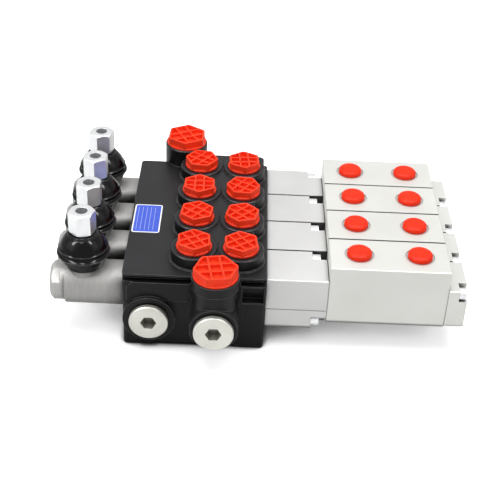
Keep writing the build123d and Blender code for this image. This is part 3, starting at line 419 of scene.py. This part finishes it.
# %% A lathe
def finish_mesh(name, mesh_data, material, smooth_degrees=35.0):
    """Wraps a bmesh as an object with a material and smooth shading up to an angle."""
    mesh = bpy.data.meshes.new(name)
    bmesh.ops.recalc_face_normals(mesh_data, faces=mesh_data.faces)
    mesh_data.to_mesh(mesh)
    mesh_data.free()
    piece = bpy.data.objects.new(name, mesh)
    bpy.context.scene.collection.objects.link(piece)
    mesh.materials.append(material)
    mesh.shade_smooth()
    mesh.set_sharp_from_angle(angle=radians(smooth_degrees))
    return piece


def spin(mesh_data, profile, centre, steps):
    """Adds a surface of revolution round the vertical through centre. The profile is (radius, height)."""
    rings = []
    for radius, height in profile:
        if radius < 1e-7:
            rings.append([mesh_data.verts.new(centre + Vector((0, 0, height)))])
            continue
        rings.append([mesh_data.verts.new(centre + Vector((radius * cos(2 * pi * k / steps),
                                                           radius * sin(2 * pi * k / steps), height)))
                      for k in range(steps)])
    for lower, upper in zip(rings, rings[1:]):
        for k in range(steps):
            following = (k + 1) % steps
            if len(lower) == 1:
                mesh_data.faces.new((lower[0], upper[following], upper[k]))
            elif len(upper) == 1:
                mesh_data.faces.new((lower[k], lower[following], upper[0]))
            else:
                mesh_data.faces.new((lower[k], lower[following], upper[following], upper[k]))


def smooth_line(points, per_span):
    """A smooth curve through the points, as Catmull-Rom spans."""
    padded = [points[0], *points, points[-1]]
    line = []
    for a, b, c, d in zip(padded, padded[1:], padded[2:], padded[3:]):
        for k in range(per_span):
            t = k / per_span
            line.append(tuple(0.5 * (2 * b[i] + (c[i] - a[i]) * t
                                     + (2 * a[i] - 5 * b[i] + 4 * c[i] - d[i]) * t * t
                                     + (3 * b[i] - a[i] - 3 * c[i] + d[i]) * t ** 3) for i in (0, 1)))
    return [*line, points[-1]]


# %% [markdown]
# ## Rubber boots
# Each boot grips the tower of its lever housing at the bottom and the lever at the top. Between them
# run two round convolutions. The outline is a smooth curve through a few radii, closed by an inner skin.

# %% Boots
BOOT_OUTLINE = ((13.6, 0.0), (14.3, 0.4), (15.2, 2.5), (16.6, 5.5), (17.5, 8.4), (18.2, 9.5), (18.85, 10.0),
                (18.95, 10.4), (18.7, 10.8), (17.6, 11.5), (16.8, 12.6), (16.9, 13.8), (17.5, 14.5), (17.85, 14.9),
                (17.8, 15.3), (17.1, 16.1),
                (15.6, 19.3), (13.4, 22.6), (11.6, 24.6), (10.9, 25.0), (10.6, 25.3), (10.8, 25.8), (10.5, 26.6),
                (9.0, 27.0))
BOOT_INSIDE = ((4.5, 27.0), (4.4, 23.0), (9.0, 22.0), (15.5, 17.0), (16.3, 11.0), (14.5, 6.0), (12.5, 5.6),
               (12.5, 0.0))
STEPS_ROUND = 96


def boot(number):
    low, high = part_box(f"lever_boot_{number}")
    centre = Vector(((low.x + high.x) / 2, (low.y + high.y) / 2, low.z))
    outline = smooth_line([(r * MM, h * MM) for r, h in BOOT_OUTLINE], 3)
    inside = [(r * MM, h * MM) for r, h in BOOT_INSIDE]
    mesh_data = bmesh.new()
    spin(mesh_data, [*outline, *inside, outline[0]], centre, STEPS_ROUND)
    bmesh.ops.remove_doubles(mesh_data, verts=mesh_data.verts, dist=1e-6)
    piece = finish_mesh(f"boot_{number}_rubber", mesh_data, rubber, 50.0)
    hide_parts(f"lever_boot_{number}")
    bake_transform(piece)


for number in range(1, 5):
    boot(number)
print("boots:", 4)

# %% [markdown]
# ## Port caps
# A cap is a round flange, a hexagon with a raised rim, and crossed ribs in its pocket. The hexagon's
# corners are rounded. Each cap was screwed in by hand, so each is turned its own way, as in the frame.

# %% Hexagon caps with crossed ribs
def hexagon(flats, corner, turn):
    """Outline of a hexagon across its flats, with rounded corners."""
    points = []
    apex = flats / 2 / cos(pi / 6)
    for k in range(6):
        direction = turn + k * pi / 3
        middle = apex - corner / cos(pi / 6)
        for step in range(5):
            angle = direction - pi / 6 + step * pi / 12
            points.append(Vector((middle * cos(direction) + corner * cos(angle),
                                  middle * sin(direction) + corner * sin(angle), 0)))
    return points


def loops(mesh_data, rings):
    """Skins closed outlines of equal length, one to the next."""
    made = [[mesh_data.verts.new(point) for point in ring] for ring in rings]
    count = len(made[0])
    for lower, upper in zip(made, made[1:]):
        for k in range(count):
            following = (k + 1) % count
            mesh_data.faces.new((lower[k], lower[following], upper[following], upper[k]))
    return made


def rib(mesh_data, centre, turn, offset, length, width, low, high):
    """A rib with a slightly narrower top, along a direction across the pocket."""
    along = Vector((cos(turn), sin(turn), 0))
    side = Vector((-sin(turn), cos(turn), 0))
    rings = []
    for height, half in ((low, width / 2), (high - 0.15 * MM, width / 2 * 0.9), (high, width / 2 * 0.65)):
        middle = centre + side * offset + Vector((0, 0, height))
        rings.append([middle + along * (a * length / 2) + side * (b * half)
                      for a, b in ((-1, -1), (1, -1), (1, 1), (-1, 1))])
    made = loops(mesh_data, rings)
    mesh_data.faces.new(made[-1])
    mesh_data.faces.new(reversed(made[0]))


def chord(flats, turn_from_flat, offset):
    """Length inside a hexagon of a line at an angle to its corners' direction, at an offset."""
    apex = flats / 2
    low, high = -1.0, 1.0
    for k in range(6):
        normal = pi / 6 + k * pi / 3 - turn_from_flat
        slope, shift = cos(normal), apex - offset * sin(normal)
        if slope > 1e-9:
            high = min(high, shift / slope)
        if slope < -1e-9:
            low = max(low, shift / slope)
    return low, high


def port_cap(mesh_data, centre, flange_r, flats, height, turn):
    """One cap, standing with its flange on centre."""
    flange = 1.5 * MM
    round_edge = 0.5 * MM
    profile = [(0.0, 0.0), (flange_r - 0.2 * MM, 0.0)]
    for k in range(5):
        angle = k / 4 * pi / 2
        profile.append((flange_r - round_edge * (1 - cos(angle)), flange - round_edge * (1 - sin(angle))))
    profile.append((0.0, flange))
    spin(mesh_data, profile, centre, STEPS_ROUND)
    corner = 3.0 * MM
    rim = 1.5 * MM
    pocket = 3.0 * MM
    rings = []
    for shrink, level in ((0.0, flange - 0.1 * MM), (0.1 * MM, height - 0.35 * MM), (0.3 * MM, height - 0.1 * MM),
                          (0.55 * MM, height), (rim - 0.3 * MM, height), (rim - 0.1 * MM, height - 0.12 * MM),
                          (rim, height - 0.4 * MM), (rim + 0.15 * MM, height - pocket)):
        outline = hexagon(flats - 2 * shrink, corner - shrink, turn)
        rings.append([centre + point + Vector((0, 0, level)) for point in outline])
    made = loops(mesh_data, rings)
    mesh_data.faces.new(made[-1])
    mesh_data.faces.new(reversed(made[0]))
    inner = flats - 2 * rim
    for angle in (0.0, pi / 2):
        for offset in (-inner / 6, inner / 6):
            low_end, high_end = chord(inner, angle, offset)
            length = min(-low_end, high_end) * 2 + 0.8 * MM
            rib(mesh_data, centre, turn + angle, offset, length, 1.25 * MM, height - pocket - 0.1 * MM,
                height - 0.2 * MM)


CAP_TURNS = (33, 36, -37, -42, 90, 57, 55, 95)
INLET_CAP_TURN = 10
OUTLET_CAP_TURN = 27
WORK_FLANGE_R = 12.8 * MM
CAP_HEIGHT = 7.2 * MM
low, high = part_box("work_port_caps")
pitch = (high.y - low.y - 2 * WORK_FLANGE_R) / 3
face_z = high.z - CAP_HEIGHT
mesh_data = bmesh.new()
places = [Vector((x, low.y + WORK_FLANGE_R + row * pitch, face_z))
          for row in range(4) for x in (low.x + WORK_FLANGE_R, high.x - WORK_FLANGE_R)]
for place, turn in zip(places, CAP_TURNS):
    port_cap(mesh_data, place, WORK_FLANGE_R, 23.0 * MM, 6.5 * MM, radians(turn))
work_caps = finish_mesh("work_port_caps_moulded", mesh_data, cap_red, 30.0)
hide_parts("work_port_caps")
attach(work_caps, "valve")
for name, turn in (("inlet_port_cap", INLET_CAP_TURN), ("outlet_port_cap", OUTLET_CAP_TURN)):
    low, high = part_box(name)
    centre = Vector(((low.x + high.x) / 2, (low.y + high.y) / 2, high.z - CAP_HEIGHT))
    mesh_data = bmesh.new()
    port_cap(mesh_data, centre, (high.x - low.x) / 2, 28.0 * MM, CAP_HEIGHT, radians(turn))
    big_cap = finish_mesh(f"{name}_moulded", mesh_data, cap_red, 30.0)
    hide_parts(name)
    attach(big_cap, "valve")
print("work ports at", [tuple(round(c / MM, 1) for c in place) for place in places[:2]])

# %% [markdown]
# ## Air caps
# These are plain domed push-in caps: a low side wall, a soft shoulder and a nearly flat top.

# %% Domed caps
AIR_CAP_PROFILE = ((0.0, 0.0), (8.75, 0.0), (8.9, 0.15), (8.9, 1.6), (8.82, 2.4), (8.45, 3.2), (7.7, 3.85),
                   (6.4, 4.3), (4.4, 4.46), (2.0, 4.5), (0.0, 4.5))
low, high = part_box("air_port_caps")
cap_r = 8.9 * MM
mesh_data = bmesh.new()
for row in range(4):
    for x in (low.x + cap_r, high.x - cap_r):
        y = low.y + cap_r + row * pitch
        centre = Vector((x, y, high.z - 4.5 * MM))
        spin(mesh_data, [(r * MM, h * MM) for r, h in AIR_CAP_PROFILE], centre, 64)
air_caps = finish_mesh("air_port_caps_moulded", mesh_data, air_cap_red, 40.0)
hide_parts("air_port_caps")
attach(air_caps, "valve")

# %% [markdown]
# ## Studio
# The floor and the world are white to the camera and to reflections. The light on the object comes
# from a broad soft panel overhead and two weaker panels, so the shadows are pale and soft. Near the
# object the floor carries a painted contact shadow.

# %% Floor, with a painted contact shadow
def white_floor():
    g = Graph("studio_floor")
    path = g.add("ShaderNodeLightPath")
    # Painted contact shadow: near the object the floor's colour and its glow to the camera darken with ambient
    # occlusion.
    outside_painted_shade = g.crevice(8 * MM, 16).step(0.45, 0.8) * (0.1 + 0.9 * g.crevice(40 * MM, 16).step(0.16, 0.40))
    floor_with_painted_shadow = g.blend(outside_painted_shade, rgb(0.05, 0.05, 0.05), rgb(0.93, 0.93, 0.935))
    lit = g.add("ShaderNodeBsdfDiffuse", None, {"Color": floor_with_painted_shadow})["BSDF"]
    glow_colour = g.blend(outside_painted_shade, rgb(0, 0, 0), rgb(1, 1, 1))
    glow = g.add("ShaderNodeEmission", None, {"Color": glow_colour, "Strength": 0.52})["Emission"]
    both = g.add("ShaderNodeAddShader", None, {0: lit, 1: glow})["Shader"]
    bounce = g.add("ShaderNodeBsdfDiffuse", None, {"Color": rgb(0.84, 0.84, 0.84)})["BSDF"]
    shader = g.add("ShaderNodeMixShader", None, {0: path["Is Camera Ray"], 1: bounce, 2: both})["Shader"]
    g.add("ShaderNodeOutputMaterial", None, {"Surface": shader})
    return g.material


mesh_data = bmesh.new()
bmesh.ops.create_grid(mesh_data, x_segments=1, y_segments=1, size=20.0)
floor = finish_mesh("studio_floor", mesh_data, white_floor())

# %% World
world = bpy.data.worlds.new("studio")
world.use_nodes = True
bpy.context.scene.world = world
links = world.node_tree.links
world_nodes = world.node_tree.nodes
world_nodes.clear()
path = world_nodes.new("ShaderNodeLightPath")
shine = world_nodes.new("ShaderNodeMath")
shine.operation = "MULTIPLY"
shine.inputs[1].default_value = 0.72
links.new(path.outputs["Is Glossy Ray"], shine.inputs[0])
seen = world_nodes.new("ShaderNodeMath")
seen.operation = "MAXIMUM"
links.new(path.outputs["Is Camera Ray"], seen.inputs[0])
links.new(shine.outputs[0], seen.inputs[1])
level = world_nodes.new("ShaderNodeMapRange")
level.inputs["To Min"].default_value = 0.45
level.inputs["To Max"].default_value = 1.0
links.new(seen.outputs[0], level.inputs["Value"])
sky = world_nodes.new("ShaderNodeBackground")
sky.inputs["Color"].default_value = rgb(1, 1, 1)
links.new(level.outputs["Result"], sky.inputs["Strength"])
out = world_nodes.new("ShaderNodeOutputWorld")
links.new(sky.outputs[0], out.inputs["Surface"])


# %% Lamps
def panel(name, place, aim, size, watts, light=True, shine=True):
    lamp = bpy.data.lights.new(name, "AREA")
    lamp.shape = "RECTANGLE"
    lamp.size, lamp.size_y = size
    lamp.energy = watts
    rig = bpy.data.objects.new(name, lamp)
    rig.location = place
    rig.rotation_euler = (Vector(aim) - Vector(place)).to_track_quat("-Z", "Y").to_euler()
    rig.visible_diffuse = light
    rig.visible_glossy = shine
    bpy.context.scene.collection.objects.link(rig)


middle = (0.045, 0.0, 0.04)
panel("overhead", (0.0, 0.15, 1.2), middle, (1.3, 1.1), 14.5, shine=False)
panel("front_fill", (0.0, -1.05, 0.98), middle, (1.5, 0.6), 1.5, shine=False)
panel("left_fill", (-1.1, -0.5, 0.7), middle, (0.9, 0.7), 2.5)
panel("right_fill", (1.2, -0.4, 0.8), middle, (0.7, 0.7), 1.5)
panel("left_shine", (-0.55, -0.35, 0.75), middle, (0.10, 0.55), 9.0, light=False)
panel("front_shine", (-0.12, -0.42, 0.95), middle, (0.05, 0.35), 3.0, light=False)
panel("right_shine", (0.45, -0.3, 0.85), middle, (0.10, 0.5), 7.0, light=False)

# %% [markdown]
# ## Camera
# The camera was found by fitting known edges of the object: 35 degrees down, almost square on, with a
# small roll, on a long lens from about 0.9 m.

# %% Camera
lens = bpy.data.cameras.new("camera")
lens.sensor_width = 36.0
lens.lens = 80.04
camera = bpy.data.objects.new("camera", lens)
camera.location = (0.02879, -0.70197, 0.52465)
turn = Matrix.Rotation(radians(-0.846), 3, "Z")
tilt = Matrix.Rotation(radians(90 - 35.01), 3, "X")
roll = Matrix.Rotation(radians(2.882), 3, "Z")
camera.rotation_euler = (turn @ tilt @ roll).to_euler()
bpy.context.scene.collection.objects.link(camera)
bpy.context.scene.camera = camera
bpy.context.scene.view_settings.view_transform = "Standard"
